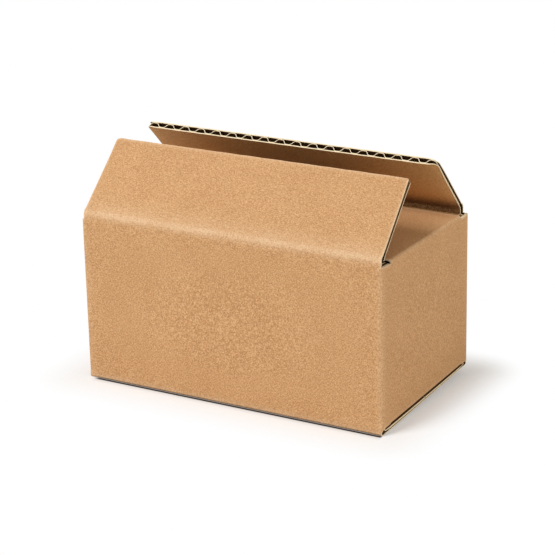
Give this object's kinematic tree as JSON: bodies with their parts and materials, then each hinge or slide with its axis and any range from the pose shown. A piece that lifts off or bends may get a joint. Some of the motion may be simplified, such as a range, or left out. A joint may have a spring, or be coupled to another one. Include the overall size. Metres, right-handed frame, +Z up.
{
  "type": "cardboard box",
  "caption": "Small plain kraft slotted carton of corrugated board, short top flaps folded flat and long top flaps standing half shut on their creases.",
  "frame": {"origin": "on the surface that the carton stands on, under the middle of its overall box", "axes": "+X along the length and the long creases, +Y from the front long wall to the back one, +Z up"},
  "size_m": [0.124, 0.069, 0.0883],
  "materials": {
    "kraft_board": "matte"
  },
  "bodies": {
    "carton": {"carton": "kraft_board"},
    "long_flap_front": {"long_flap_front": "kraft_board"},
    "long_flap_back": {"long_flap_back": "kraft_board"}
  },
  "joints": [
    {"name": "front_crease", "type": "hinge", "parent": "carton", "child": "long_flap_front", "pos_m": [0, -0.03318, 0.06448], "axis": [-1, 0, 0], "range_deg": [-167.5, 42.5]},
    {"name": "back_crease", "type": "hinge", "parent": "carton", "child": "long_flap_back", "pos_m": [0, 0.03318, 0.06448], "axis": [1, 0, 0], "range_deg": [-164.5, 45.5]}
  ]
}
